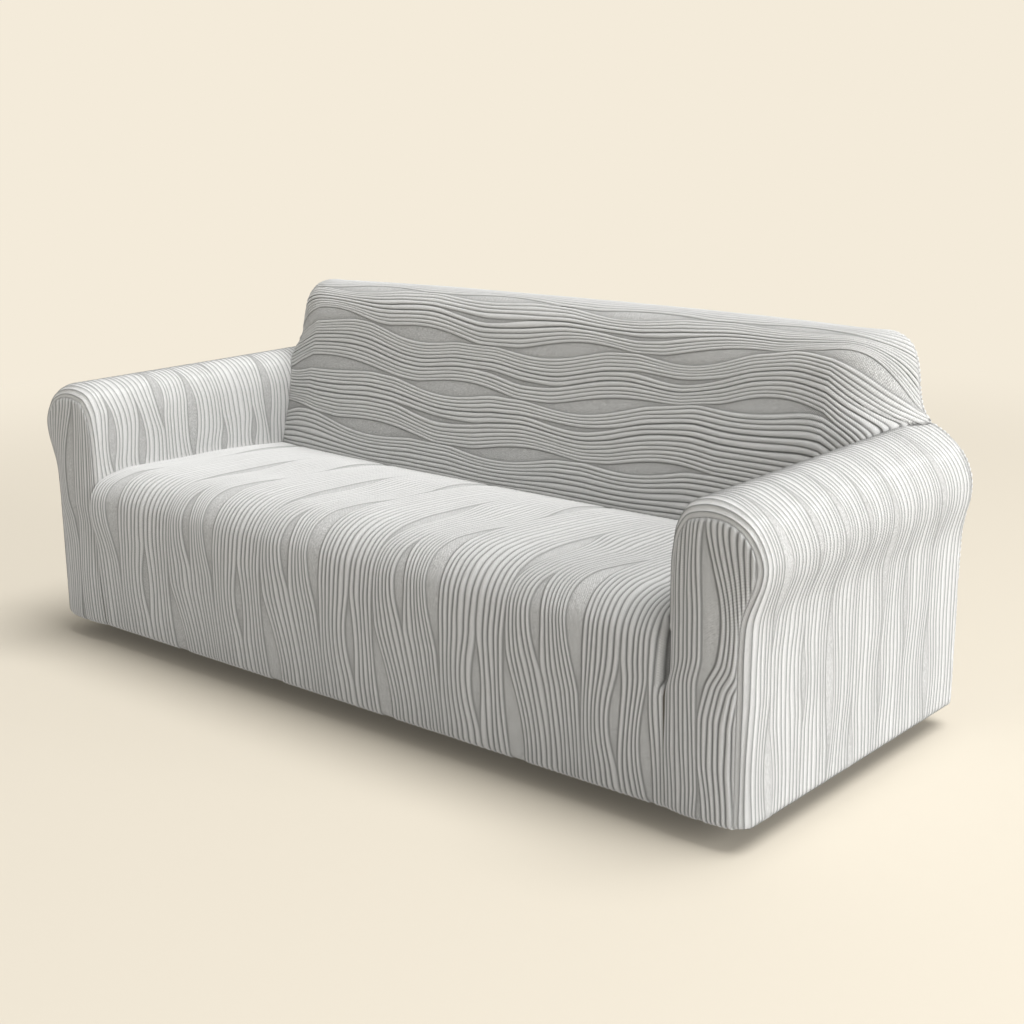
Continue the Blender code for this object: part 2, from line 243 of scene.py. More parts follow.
ARM_REAR = [  # length round the arm, y where its cloth meets the back
    (0.000, 0.630),
    (0.070, 0.648),
    (0.130, 0.662),
    (0.185, 0.678),
    (0.225, 0.702),
    (0.262, 0.762),
    (0.290, DEPTH - REAR_BEND),
]
BACK_PROFILE = [  # y, z, hollow of the ends behind the middle
    (0.592, 0.428, 0.038),
    (0.611, 0.500, 0.036),
    (0.640, 0.600, 0.030),
    (0.668, 0.690, 0.022),
    (0.690, 0.765, 0.014),
    (0.705, 0.810, 0.010),
    (0.727, 0.846, 0.006),
    (0.760, 0.869, 0.003),
    (0.800, 0.876, 0.000),
    (DEPTH - REAR_BEND, 0.874, 0.000),
]
REAR_CORNER = [  # x, z of the rear seam beside and above the arm
    (0.974, 0.675),
    (0.955, 0.700),
    (0.945, 0.735),
    (0.940, 0.775),
    (0.934, 0.808),
    (0.918, 0.842),
    (0.893, 0.860),
    (0.862, 0.866),
]
SEAT_PROFILE = [  # middle y, middle z, side y, side z
    (0.592, 0.428, 0.630, 0.428),
    (0.500, 0.447, 0.520, 0.437),
    (0.400, 0.457, 0.410, 0.443),
    (0.250, 0.463, 0.255, 0.445),
    (0.130, 0.465, 0.135, 0.448),
    (0.070, 0.459, 0.075, 0.447),
    (0.022, 0.438, 0.025, 0.432),
    (-0.008, 0.400, -0.004, 0.398),
    (-0.018, 0.350, -0.012, 0.350),
    (-0.018, 0.270, -0.012, 0.270),
    (-0.010, 0.160, -0.007, 0.160),
    (0.000, 0.063, 0.000, 0.063),
]
print("profiles:", len(ARM_SECTION), "rows for an arm,", len(BACK_PROFILE), "for the back")

# %% A smooth curve through a table
def lengths(rows):
    """The distance along the rows' first two columns, from the first row to each."""
    steps = np.diff(np.asarray(rows, float)[:, :2], axis=0)
    return np.concatenate([[0.0], np.cumsum(np.hypot(steps[:, 0], steps[:, 1]))])


def along(rows, distance, knots=None):
    """The rows' columns at each distance, on a smooth curve through them."""
    rows = np.asarray(rows, float)
    knots = lengths(rows) if knots is None else knots
    slopes = np.gradient(rows, knots, axis=0)
    distance = np.clip(distance, 0, knots[-1])
    index = np.clip(np.searchsorted(knots, distance, side="right") - 1, 0, len(knots) - 2)
    span = knots[index + 1] - knots[index]
    share = ((distance - knots[index]) / span)[..., None]
    span = span[..., None]
    blend = share * share * (3 - 2 * share)
    left = rows[index] * (1 - blend) + slopes[index] * span * share * (1 - share) ** 2
    right = rows[index + 1] * blend - slopes[index + 1] * span * (1 - share) * share**2
    return np.moveaxis(left + right, -1, 0)


def ease(value, low, high):
    """0 below low, 1 above high and smooth between them."""
    share = np.clip((value - low) / (high - low), 0, 1)
    return share * share * (3 - 2 * share)


ARM_LENGTH = lengths(ARM_SECTION)[-1]
BACK_LENGTH = lengths(BACK_PROFILE)[-1]
SEAT_LENGTH = lengths(SEAT_PROFILE)[-1]
CORNER_LENGTH = lengths(REAR_CORNER)[-1]
HEM_LENGTH = HEM_BEND * math.pi / 2 + HEM_TURN
ARM_ON_BACK = ARM_REAR[-1][0]
INNER_SHOULDER, OUTER_SHOULDER = 0.130, 0.435  # where the arch of the arm's front starts and ends
SAMPLES = 200  # points at which a curve is read to look a place up on it
print("round an arm", round(ARM_LENGTH, 3), "m, over seat and front", round(SEAT_LENGTH, 3), "m")

# %% [markdown]
# ## The hem and the slit
# The hem is the cloth's own edge, bent in and turned under, so one formula serves wherever a piece has it.
# The slit is left unsewn beside the right arm's front, and the seat's cloth sinks away there. A hole could
# be cut in the mesh instead, but its raw edge would need faces of its own, so the seat's surface draws back.

# %% The hem and the slit
SLIT = (0.285, 0.310, 0.400, 0.430)  # heights where it starts, is open, starts to close and has closed
SLIT_DEPTH, SLIT_WIDTH = 0.030, 0.028  # how far the seat's end sinks, and the width that sinks


def hem_shift(distance):
    """How far in and how far down the hem has gone, at a distance along it."""
    angle = np.clip(distance / HEM_BEND, 0, math.pi / 2)
    inward = HEM_BEND * (1 - np.cos(angle)) + np.maximum(distance - HEM_BEND * math.pi / 2, 0)
    return inward, HEM_BEND * np.sin(angle)


def slit_at(height):
    """1 where the slit beside the arm's front is open, and 0 above and below it."""
    return ease(height, SLIT[0], SLIT[1]) * (1 - ease(height, SLIT[2], SLIT[3]))


print("hem", round(1000 * HEM_LENGTH), "mm long, slit", round(1000 * (SLIT[3] - SLIT[0])), "mm high")

# %% [markdown]
# ## The surface of the seat and front
# One panel runs from the back over the seat and down the front. It is written as a function of two distances
# on the cloth, because a knit drawn in metres then lies on it with hardly any stretching. A grid pushed about
# by hand would look as good, but every rib would have to be placed by eye.

# %% The seat and front
SLIT_GAP = 0.006  # how far the seat's cloth draws away from the arm's front at the slit
END_REACH, END_SET = 0.010, 0.024  # how far its right end runs out under the arm's seam, and how far back
END_BULGE = 0.010  # how far the seat's left end swells over the arm's front
BULGE_RISE, BULGE_FALL = (0.25, 0.37), (0.42, 0.45)  # heights over which the swelling grows and dies away
BULGE_TAPER, BULGE_LIP = (0.01, 0.10), (-0.002, 0.012)  # distances from the end for its body and its lip


def seat_surface(run, x):
    """The seat and front, by the distance from the seat's rear and the place across."""
    mid_y, mid_z, side_y, side_z = along(SEAT_PROFILE, run)
    share = np.abs(x / SEAT_HALF) ** CROWN_POWER
    y = mid_y + (side_y - mid_y) * share
    z = mid_z + (side_z - mid_z) * share
    front = run > SEAT_LENGTH / 2
    near_side = 1 - ease(SEAT_HALF - x, 0, SLIT_WIDTH)
    reach = END_REACH * ease(z, *SLIT[:2]) * (1 - ease(y, 0.0, END_SET))
    y = y + SLIT_DEPTH * slit_at(z) * near_side * front
    x = x + (reach - SLIT_GAP * slit_at(z)) * near_side * front
    left = SEAT_HALF + x
    bulge = ease(z, *BULGE_RISE) * (1 - ease(z, *BULGE_FALL)) * front * (1 - ease(left, *BULGE_TAPER))
    y = y - END_BULGE * bulge * ease(left, *BULGE_LIP)
    x = x - END_BULGE * bulge
    inward, drop = hem_shift(run - SEAT_LENGTH)
    return np.stack([x, y + inward, z - drop], axis=-1)


FRONT_ROW = 8  # the row of the seat's profile that lies furthest forward


def seat_side(y):
    """Height of the seat's side edge at a depth, down its rounded front."""
    side = along(SEAT_PROFILE, np.linspace(0, lengths(SEAT_PROFILE)[FRONT_ROW], SAMPLES))
    return np.interp(y, side[2][::-1], side[3][::-1])


print("seat edge height", round(float(seat_side(0.3)), 3))

# %% [markdown]
# ## The surface of an arm
# The arm's panel starts beside the seat, climbs the inside, goes over the top and down to the hem. Its front
# edge rounds over towards the seam with the arm's front. The section changes from front to rear, so two
# sections are kept in one table and mixed by depth, which is simpler than lofting through many.

# %% An arm
def rear_limit(distance):
    """Depth at which the arm's cloth ends, by the distance round the arm."""
    knots = np.array([row[0] for row in ARM_REAR])
    return along([(row[1], 0) for row in ARM_REAR], distance, knots)[0]


def arm_section(distance, y):
    """Place across and height on the arm, by the distance round it and the depth."""
    front_x, front_z, rear_x, rear_z, _ = along(ARM_SECTION, distance)
    share = np.clip(y / DEPTH, 0, 1)
    x = front_x + (rear_x - front_x) * share
    z = front_z + (rear_z - front_z) * share
    floor_z = seat_side(y)
    start, full = ARM_SECTION[0][1], ARM_SECTION[1][1]
    low = floor_z + (z - start) / (full - start) * (full - floor_z)
    return x, np.where(distance < lengths(ARM_SECTION)[1], low, z)


def arm_normal(distance):
    """Across and upward parts of the way out from the arm's section."""
    step = 0.002  # either way, for measuring the slope
    distance = np.clip(distance, step, ARM_LENGTH - step)
    ahead = along(ARM_SECTION, distance + step)
    behind = along(ARM_SECTION, distance - step)
    run = np.hypot(ahead[0] - behind[0], ahead[1] - behind[1])
    return -(ahead[1] - behind[1]) / run, (ahead[0] - behind[0]) / run


def arm_depth(distance):
    """Length of the arm's cloth from its front seam to its rear one, by the distance round the arm."""
    return rear_limit(distance) + (math.pi / 2 - 1) * along(ARM_SECTION, distance)[4]


def arm_surface(distance, back):
    """The right arm's cloth, by the distance round the arm and the distance back from its front seam."""
    bend = along(ARM_SECTION, distance)[4]
    back = np.minimum(back, arm_depth(distance))
    angle = np.clip(back / bend, 0, math.pi / 2)
    y = bend * (1 - np.cos(angle)) + np.maximum(back - bend * math.pi / 2, 0)
    x, z = arm_section(distance, y)
    out_x, out_z = arm_normal(distance)
    inset = bend * (1 - np.sin(angle))
    x, z = x - out_x * inset, z - out_z * inset
    inward, drop = hem_shift(distance - ARM_LENGTH)
    x = x - inward * np.sin(angle)
    y = y + inward * np.cos(angle)
    return np.stack([x, y, z - drop], axis=-1)


print("arm cloth", round(float(arm_depth(0.5)), 3), "m deep")

# %% [markdown]
# ## The surface of the back
# The inside back rises behind the seat, rolls over the top and wraps round both ends. Each end leans on its
# arm below and stands free above. The wrap is a quarter turn of the cloth's distance, so the ribs keep their
# length as they go round, where a bevel would squeeze them.

# %% The back
TURN_LENGTH = 0.20  # length of cloth that goes round each end
TUCK = 0.10  # distance up from the arm over which the end's drop changes its curve


def back_end(up):
    """Where the back's cloth ends on the right, by the distance up its middle."""
    on_arm = np.clip(up / BACK_ON_ARM, 0, 1) * ARM_ON_BACK
    arm_y = rear_limit(on_arm)
    arm_x, arm_z = arm_section(on_arm, arm_y)
    share = (up - BACK_ON_ARM) / (BACK_LENGTH - BACK_ON_ARM)
    corner_x, corner_z = along(REAR_CORNER, share * CORNER_LENGTH)
    above = up > BACK_ON_ARM
    x = np.where(above, corner_x, arm_x)
    y = np.where(above, DEPTH - REAR_BEND, arm_y)
    return x, y, np.where(above, corner_z, arm_z)


def back_surface(reach, up):
    """The back's cloth, by the distance from the middle along it and the distance up."""
    mid_y, mid_z, hollow = along(BACK_PROFILE, up)
    end_x, end_y, end_z = back_end(up)
    face = np.clip(np.abs(reach), 0, SHOULDER)
    turn = np.clip((np.abs(reach) - SHOULDER) / TURN_LENGTH, 0, 1) * math.pi / 2
    x = face + (end_x - SHOULDER) * np.sin(turn)
    turned = 1 - np.cos(turn)
    face_y = mid_y + hollow * (x / SEAT_HALF) ** CROWN_POWER
    end_face_y = mid_y + hollow * (end_x / SEAT_HALF) ** CROWN_POWER
    y = face_y + (end_y - end_face_y) * turned
    drop = CORNER_DROP * ease(mid_z, *CORNER_HEIGHTS) * (face / SHOULDER) ** CROWN_POWER
    sunk = turned + (np.sin(turn) - turned) * ease(BACK_ON_ARM + TUCK - up, 0, TUCK)
    z = mid_z - drop + (end_z - mid_z + drop) * sunk
    return np.stack([np.sign(reach) * x, y, z], axis=-1)


BACK_REACH = SHOULDER + TURN_LENGTH
print("back cloth", round(BACK_LENGTH, 3), "m up and over")

# %% [markdown]
# ## The surface of an arm's front
# This panel closes the end of the arm: straight sides below, an arch on top. Its four edges are known
# already, since it is sewn to the seat and to the arm. So it is stretched between them and puffed a little,
# and it meets its neighbours without any fitting.

# %% An arm's front
def spanned(edges, across, up):
    """Points stretched between a bottom, a top, a left and a right edge, given at each point."""
    (bottom, top, left, right), corners = edges
    low_left, low_right, high_left, high_right = corners
    across, up = across[..., None], up[..., None]
    sides = left * (1 - across) + right * across
    ends = bottom * (1 - up) + top * up
    low = low_left * (1 - across) + low_right * across
    high = high_left * (1 - across) + high_right * across
    return sides + ends - low * (1 - up) - high * up


def arm_seam(distance):
    """The front seam, where the arm's cloth starts to round over."""
    return arm_surface(distance, np.zeros_like(distance))


STRAIGHT_FROM = 0.17  # height above which the edge runs straight up to the arm's seam
FRONT_HEIGHTS = (HEM_TOP, STRAIGHT_FROM, 0.285, 0.310, 0.360, 0.392)  # marks beside the seat
SEAM_MARKS = 5  # marks from there up the arm's seam to its shoulder
STEP_OUT = (0.28, 0.33)  # heights over which the edge steps out from the seat's end to the arm's seam


def inner_edge_at(station):
    """The edge beside the seat and up the arm's inside, by the number of marks passed."""
    height = np.interp(station, range(len(FRONT_HEIGHTS)), FRONT_HEIGHTS)
    front = along(SEAT_PROFILE, np.linspace(SEAT_LENGTH / 2, SEAT_LENGTH, SAMPLES))
    side_y = np.interp(height, front[3][::-1], front[2][::-1])
    seam_start = arm_seam(np.array(0.0))
    foot_y = np.interp(STRAIGHT_FROM, front[3][::-1], front[2][::-1])
    share = np.clip((height - STRAIGHT_FROM) / (seam_start[2] - STRAIGHT_FROM), 0, 1)
    side_y = np.where(height > STRAIGHT_FROM, foot_y + (seam_start[1] - foot_y) * share, side_y)
    side_x = SEAT_HALF + (seam_start[0] - SEAT_HALF) * ease(height, *STEP_OUT)
    beside_seat = np.stack([side_x, side_y, height], axis=-1)
    climb = np.clip(station - len(FRONT_HEIGHTS) + 1, 0, SEAM_MARKS)
    seam = arm_seam(np.maximum(climb - 1, 0) * INNER_SHOULDER / (SEAM_MARKS - 1))
    join = np.clip(climb, 0, 1)[..., None]
    return beside_seat * (1 - join) + seam * join


EDGE_STATIONS = np.linspace(0, len(FRONT_HEIGHTS) + SEAM_MARKS - 1, SAMPLES)
EDGE_RUN = np.linalg.norm(np.diff(inner_edge_at(EDGE_STATIONS), axis=0), axis=1).cumsum()
EDGE_RUN = np.concatenate([[0.0], EDGE_RUN / EDGE_RUN[-1]])


def front_left_edge(up):
    """The inner edge from 0 at the hem to 1 at the shoulder, in even lengths."""
    return inner_edge_at(np.interp(up, EDGE_RUN, EDGE_STATIONS))


def front_right_edge(up):
    """The outer seam, from 0 at the hem to 1 at the arm's outer shoulder."""
    return arm_seam(ARM_LENGTH + (OUTER_SHOULDER - ARM_LENGTH) * up)


def arm_front_surface(up, across):
    """The panel on the right arm's front, by the share of the way up and across. Below 0 it is the hem."""
    hem = np.maximum(-up, 0)
    up = np.maximum(up, 0)
    corner = [front_left_edge(np.array(0.0)), front_right_edge(np.array(0.0))]
    shoulder = [front_left_edge(np.array(1.0)), front_right_edge(np.array(1.0))]
    bottom = corner[0] + across[..., None] * (corner[1] - corner[0])
    top = arm_seam(INNER_SHOULDER + (OUTER_SHOULDER - INNER_SHOULDER) * across)
    edges = (bottom, top, front_left_edge(up), front_right_edge(up))
    points = spanned((edges, (*corner, *shoulder)), across, up)
    points[..., 1] -= FRONT_PUFF * 4 * across * (1 - across) * (1 - up**6)
    inward, drop = hem_shift(hem)
    points[..., 1] += inward
    points[..., 2] -= drop
    return points


print("arm front ends at", front_right_edge(np.array(1.0)).round(3))

# %% [markdown]
# ## The surface of the outer back
# The rear panel is flat with a rounded rim all round. Its outline is the rear seam of the arms and the back.
# Points near the outline are sunk by how close they are to it, on a quarter circle, so one rule rounds the
# rim along straight sides and corners alike. A Bevel modifier would need a clean outer edge loop for that.

# %% The outer back
RIM_POINTS, RIDGE_POINTS = 60, 41  # points that trace a side of the outline and its top


def distance_to(path, points):
    """The distance of each point from a path of straight pieces."""
    start, step = path[:-1], np.diff(path, axis=0)
    offset = points[..., None, :] - start
    share = np.clip((offset * step).sum(-1) / (step * step).sum(-1), 0, 1)
    return np.linalg.norm(offset - share[..., None] * step, axis=-1).min(-1)


def rear_outline(climb):
    """Place across and height of the rear seam on the right, by the share of its length from the hem up."""
    arm = np.linspace(ARM_LENGTH, ARM_ON_BACK, RIM_POINTS)
    corner = np.linspace(BACK_ON_ARM, BACK_LENGTH, RIM_POINTS)
    painted_slit_shade = np.stack(arm_section(arm, DEPTH - REAR_BEND + 0 * arm), axis=-1)
    beside_back = np.stack(back_end(corner[1:]), axis=-1)[:, ::2]
    path = np.concatenate([painted_slit_shade, beside_back])
    run = lengths(path)
    share = climb * run[-1]
    return np.stack([np.interp(share, run, path[:, 0]), np.interp(share, run, path[:, 1])], axis=-1)


def outer_back_surface(across, climb):
    """The outer back, by the place across from -1 to 1 and the share of the way up. Below 0 it is the hem."""
    hem = np.maximum(-climb, 0)
    climb = np.maximum(climb, 0)
    right = rear_outline(climb)
    left = right * (-1, 1)
    share = (across + 1) / 2
    top = back_surface(across * BACK_REACH, np.full_like(across, BACK_LENGTH))[..., ::2]
    foot, crest = rear_outline(np.array(0.0)), rear_outline(np.array(1.0))
    bottom = foot * np.stack([across, np.ones_like(across)], axis=-1)
    corners = (foot * (-1, 1), foot, crest * (-1, 1), crest)
    flat = spanned(((bottom, top, left, right), corners), share, climb)
    side = rear_outline(np.linspace(0, 1, RIM_POINTS))
    reach = np.linspace(-1, 1, RIDGE_POINTS) * BACK_REACH
    ridge = back_surface(reach, np.full(RIDGE_POINTS, BACK_LENGTH))[:, ::2]
    outline = np.concatenate([side * (-1, 1), ridge[1:-1], side[::-1]])
    inset = np.clip(REAR_BEND - distance_to(outline, flat), 0, REAR_BEND)
    y = DEPTH - REAR_BEND + np.sqrt(REAR_BEND**2 - inset**2)
    inward, drop = hem_shift(hem)
    turn = -np.sign(flat[..., 0]) * inset / REAR_BEND
    x = flat[..., 0] + inward * turn
    return np.stack([x, y - inward * np.sqrt(1 - turn**2), flat[..., 1] - drop], axis=-1)


print("outer back is", round(2 * rear_outline(np.array(0.0))[0], 3), "m wide at the hem")

# %% [markdown]
# ## How the knit is patterned
# The cloth is knitted in rows. Along each row the ribs part round long bare flats and close again, and the
# rows are staggered, so every rib swings between the flats on either side of it. Painting such lines by hand
# would take a day, and noise would never part so cleanly. So each row of flats is one short line of a table,
# and the ribs between two rows share out whatever width is left. They can't cross, whatever the flats do.

# %% Parting round a flat
CLOSED = 0.0010  # width of a row where no flat is open
LEAF_POWER = 1.5  # how pointed a flat is
SKEW = 0.22  # how far the two sides of a flat lean apart, by its reach


def leaf(place, centre, reach):
    """1 at the centre of a flat, falling smoothly to 0 at its tips."""
    return np.clip(1 - ((place - centre) / reach) ** 2, 0, None) ** LEAF_POWER


def spine(line, place):
    """Where a row runs: a fixed place across, or a smooth line through (place along, place across) pairs."""
    if np.ndim(line) == 0:
        return np.full_like(place, line)
    points = np.array(line, float)
    return along(points[:, 1:], place - points[0, 0], points[:, 0] - points[0, 0])[0]


def row_sides(row, place):
    """The lower and the upper side of a row of flats, at each place along the ribs."""
    line, flats = row
    low = spine(line, place) - CLOSED / 2
    high = low + CLOSED
    for centre, reach, width, lean in flats:
        low = low - width * (1 - lean) * leaf(place, centre - SKEW * reach, reach)
        high = high + width * lean * leaf(place, centre + SKEW * reach, reach)
    return low, high


print("two thirds of the way out a flat has", round(float(leaf(2.0, 0.0, 3.0)), 2), "of its full width")

# %% Ribs between two rows
RIB_SIDE, TIGHT_SIDE = (0.0032, 0.24), (0.0019, 0.15)  # width of a rib's side and its greatest share
LEAST_SIDE = 0.06  # and its least
# Tones paint shade along the relief: 0 is a valley's painted shade, the crest is lightest, a flat's low tone
# is partly painted shade
RIB_RISE, RIB_TONE = np.array([[0.0, 0.74, 1.0, 0.74], [0.0, 0.74, 0.92, 0.74]])  # valley, side, crest, side
FLAT_RISE, FLAT_TONE = np.array([[0.0, 0.16, 0.20, 0.16], [0.15, 0.34, 0.36, 0.34]])
FULL_RIB, FULL_FLAT = 0.011, 0.008  # widths from which a rib or a flat has its full height
LEAST_RISE, RISE_POWER = 0.1, 0.6  # how a narrower one loses it
FINE, BROAD, BROAD_REACH = 0.82, 0.36, 0.26  # the finest ribs' share, the broadest's gain, how it spreads
BROAD_AT, BROAD_STEP = 0.40, 0.14  # place of the broadest rib in a bundle, and its shift in every second one
SWELL = ((0.13, 0.37, 2.4, 1.7), (0.05, 0.21, 1.9, 0.7))  # amount, length, turn a rib, turn a bundle


def rib_shares(place, count, bundle):
    """Each rib's share of a bundle: fine beside the flats, broad between them and slowly swelling."""
    rib = np.arange(count)
    middle = BROAD_AT + BROAD_STEP * (bundle % 2)
    share = FINE + BROAD * np.exp(-((((rib + 0.5) / count) - middle) ** 2) / BROAD_REACH**2)
    for amount, length, rib_turn, bundle_turn in SWELL:
        turn = 2 * math.pi * place / length + rib_turn * rib + bundle_turn * bundle
        share = share * (1 + amount * np.sin(turn))
    return share / share.sum(axis=1, keepdims=True)


def ribbing(place, rows, bundles, side_of=RIB_SIDE, flat_tone=1.0):
    """Places across, rises and tones of the knit's nodes, for each place along the ribs."""
    place = place[:, None]
    sides = [row_sides(row, place) for row in rows]
    nodes = []

    def cell(start, width, rise, tone, full):
        side = np.clip(side_of[0] / width, LEAST_SIDE, side_of[1])
        across = [start, start + width * side, start + width / 2, start + width * (1 - side)]
        across = np.concatenate(across, axis=1)
        nodes.append((across, rise * np.clip(width / full, LEAST_RISE, 1) ** RISE_POWER, tone + 0 * across))

    for bundle, (count, small) in enumerate(bundles):
        low, high = sides[bundle][1], sides[bundle + 1][0]
        openings = {}
        for after, centre, reach, width in small:
            openings[after] = CLOSED + width * leaf(place, centre, reach)
        widths = rib_shares(place, count, bundle) * (high - low - sum(openings.values()))
        for rib in range(count):
            width = widths[:, rib : rib + 1]
            cell(low, width, RIB_RISE, RIB_TONE, FULL_RIB)
            low = low + width
            if rib in openings:
                cell(low, openings[rib], FLAT_RISE, FLAT_TONE * flat_tone, FULL_FLAT)
                low = low + openings[rib]
        if bundle + 1 < len(bundles):
            cell(high, sides[bundle + 1][1] - high, FLAT_RISE, FLAT_TONE * flat_tone, FULL_FLAT)
    last = sides[-1][0]
    nodes.append((last, 0 * last, 0 * last))
    return [np.concatenate(part, axis=1) for part in zip(*nodes)]


print("a rib has", len(RIB_RISE), "nodes across it")

# %% [markdown]
# ## From pattern to cloth
# Each piece starts as a flat grid with one column of points for every node of the knit. The grid is then laid
# on the sofa, and every point is lifted off it by its rib's height. Ribs die away just short of a seam,
# because the stitching pins the cloth down there. A Solidify modifier gives the cloth its thickness, inwards.

# %% Lay a grid on the sofa
RIB_HEIGHT = 0.0034
SEAM_FADE, SIDE_FADE = 0.009, 0.008  # distances from a piece's ends and sides over which its ribs rise
SEAM_TONE, TONE_START, TONE_FADE = 0.55, -0.002, 0.006  # the even grey at a seam, and where it gives way
STEP = 0.0005  # either way, for measuring a surface's slope
MERGE, SLIVER = 2e-5, 1e-6  # nodes closer than the first are one, and edges below the second go


def settled(tone, edge, reach=TONE_FADE):
    """The tone, turned to one even grey where the ribs die away at a seam."""
    return SEAM_TONE + (tone - SEAM_TONE) * ease(edge, TONE_START, reach)


def outward(surface, first, second, first_limits, second_limits, side):
    """Unit vectors straight out of a surface."""
    ahead, behind = np.clip(first + STEP, *first_limits), np.clip(first - STEP, *first_limits)
    over, under = np.clip(second + STEP, *second_limits), np.clip(second - STEP, *second_limits)
    down = surface(ahead, second) - surface(behind, second)
    along_row = surface(first, over) - surface(first, under)
    normal = np.cross(down, along_row) * side
    return normal / np.maximum(np.linalg.norm(normal, axis=-1, keepdims=True), 1e-12)


def cloth_mesh(name, points, details):
    """A mesh of one face for each cell of a grid, with the knit's place and tone kept on its points."""
    rows, columns = points.shape[:2]
    sheet = bmesh.new()
    bmesh.ops.create_grid(sheet, x_segments=columns - 1, y_segments=rows - 1, size=1)
    knit = sheet.verts.layers.float_vector.new("knit")
    for vertex, point, detail in zip(sheet.verts, points.reshape(-1, 3), details.reshape(-1, 3)):
        vertex.co = point
        vertex[knit] = detail
    bmesh.ops.remove_doubles(sheet, verts=sheet.verts, dist=MERGE)
    bmesh.ops.dissolve_degenerate(sheet, edges=sheet.edges, dist=SLIVER)
    for face in sheet.faces:
        face.smooth = True
    mesh = bpy.data.meshes.new(name)
    sheet.to_mesh(mesh)
    sheet.free()
    return mesh


print("ribs stand", 1000 * RIB_HEIGHT, "mm proud")

# %% Even steps between marks
def steps(*parts):
    """Steps between marks, given as mark, count, mark, count and so on."""
    marks, counts = parts[::2], parts[1::2]
    runs = [np.linspace(a, b, n, endpoint=False) for a, b, n in zip(marks, marks[1:], counts)]
    return np.concatenate([*runs, [marks[-1]]])


print("three steps to 1, two to 2:", steps(0, 3, 1, 2, 2).round(2))

# %% [markdown]
# ## The knit's finish
# Yarn in the ribs stands up and catches light, and the valleys between them and the bare flats lie low. Shade
# is painted into the grey along that relief: each point of a piece carries a tone as an attribute, about how
# high it stands in the knit, and that one number mixes a dark grey of painted shade with a light one. The
# valleys get the darkest painted shade, the flats a mid grey that is partly painted shade, and the crests the
# light grey. Rows of tiny stitches are far too many to model, so they are a bump and a faint change of grey:
# two sine waves crossed along and across the ribs, broken up by noise.

# %% Knit material
# The dark grey is painted shade. The tone mixes it in most in the valleys and the slit, and partly on the
# flats
PAINTED_SHADE_GREY, RAISED = (0.20, 0.20, 0.195, 1), (0.95, 0.95, 0.935, 1)
STITCH, STITCH_DEPTH = 0.0052, 0.0008  # a pair of stitches, and the depth of their bump
WAVE_SHARE, FLECK_SHARE, STITCH_SHADE = 0.35, 2.6, 0.50  # how much waves, flecks and both together show
FLECKS, FLECK_MIDDLE = 340.0, 0.46  # flecks to a metre, and the noise's usual value

cloth = bpy.data.materials.new("ribbed grey knit")
cloth.use_nodes = True
cloth.node_tree.nodes.clear()
knit = Value(cloth.node_tree)
detail = knit.node("ShaderNodeAttribute", {"attribute_name": "knit"}, output="Vector")
run, over, tone = (knit.node("ShaderNodeSeparateXYZ", inputs={0: detail}, output=axis) for axis in "XYZ")
waves = knit.maths("SINE", run * (2 * math.pi / STITCH), 0)
rows = knit.maths("SINE", over * (2 * math.pi / STITCH), 0)
fleck = knit.node("ShaderNodeTexNoise", inputs={"Vector": detail, "Scale": FLECKS, "Detail": 2.0})
stitches = waves * rows * WAVE_SHARE + (fleck - FLECK_MIDDLE) * FLECK_SHARE
shade = knit.node("ShaderNodeMapRange", inputs={0: tone + stitches * STITCH_SHADE, 1: 0.0, 2: 1.0})
colour = shade.mixed(PAINTED_SHADE_GREY, RAISED)
bump = knit.node("ShaderNodeBump", inputs={"Strength": 1.0, "Distance": STITCH_DEPTH, "Height": stitches})
looks = {"Base Color": colour, "Normal": bump, "Roughness": 0.92, "Sheen Weight": 0.15}
looks["Sheen Roughness"] = 0.6
body = knit.node("ShaderNodeBsdfPrincipled", inputs=looks)
knit.node("ShaderNodeOutputMaterial", inputs={0: body})
print("stitch pitch", 1000 * STITCH, "mm")

# %% [markdown]
# ## Sewing a piece
# Every panel is finished in the same way: its grid becomes a mesh, takes the knit's material and gets the
# cloth's thickness. A helper does that once. The real panels are sewn to each other along their edges, but
# here each stays an object of its own, so that it can be picked, measured and replaced alone.

# %% Sew one piece
THICKNESS = 0.0014
pieces = {}


def sew(name, points, details, flip):
    """A finished piece of cloth. Flip turns its faces outward where the grid runs the other way."""
    if flip:
        points, details = points[:, ::-1], details[:, ::-1]
    piece = bpy.data.objects.new(name, cloth_mesh(name, points - MOUNT, details))
    scene.collection.objects.link(piece)
    piece.data.materials.append(cloth)
    shell = piece.modifiers.new("cloth thickness", "SOLIDIFY")
    shell.thickness = THICKNESS
    shell.offset = -1
    pieces[name] = piece
    print(name, "faces", len(piece.data.polygons))


# %% [markdown]
# ## Sew the seat and front
# The ribs run from the back over the seat's edge and down, so this panel's rows run that way too. Each row of
# flats is one line of a table, staggered against its neighbours, and leans now left and now right, which is
# what makes the ribs look combed rather than ruled. Between two rows lies a bundle of a dozen ribs, some with
# a small flat of their own. A repeated tile would be quicker, but the eye finds a tile's seams at once.

